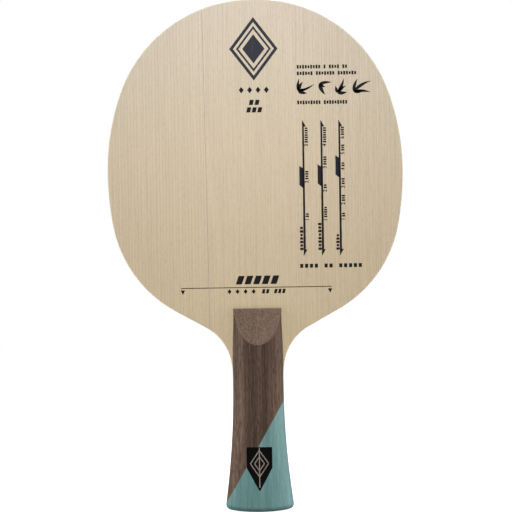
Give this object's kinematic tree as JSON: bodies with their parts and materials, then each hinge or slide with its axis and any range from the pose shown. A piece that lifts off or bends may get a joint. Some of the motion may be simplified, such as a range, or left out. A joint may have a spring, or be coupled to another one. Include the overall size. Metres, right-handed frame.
{
  "type": "table tennis paddle",
  "caption": "Bare wooden table tennis paddle with an oval laminated head, concave neck and flared two-tone handle.",
  "frame": {"origin": "bottom centre of the handle's butt, in the middle plane of the plies", "axes": "+Z along the paddle from the butt to the top of the head, front face towards -Y, +X to the right seen from the front"},
  "size_m": [0.15, 0.0238, 0.26],
  "materials": {
    "face_wood": "straight-grained cypress, fine sanded and sealed",
    "medium_wood": "plain veneer edge",
    "core_wood": "light plain veneer edge",
    "fibre_sheet": "dark woven fibre in resin",
    "walnut": "open-pored dark walnut, satin oil",
    "dyed_wood": "blue-green dyed veneer block, satin",
    "badge_metal": "black enamel with fine raised lines"
  },
  "bodies": {
    "root": {"face_ply_front_left": "face_wood", "face_ply_front_right": "face_wood", "fibre_ply_front": "fibre_sheet", "medium_ply_front": "medium_wood", "core_ply": "core_wood", "medium_ply_back": "medium_wood", "fibre_ply_back": "fibre_sheet", "face_ply_back_left": "face_wood", "face_ply_back_right": "face_wood", "handle_scale_front": "walnut", "handle_wedge_front": "dyed_wood", "handle_scale_back": "walnut", "handle_wedge_back": "dyed_wood", "handle_badge": "badge_metal"}
  },
  "joints": []
}
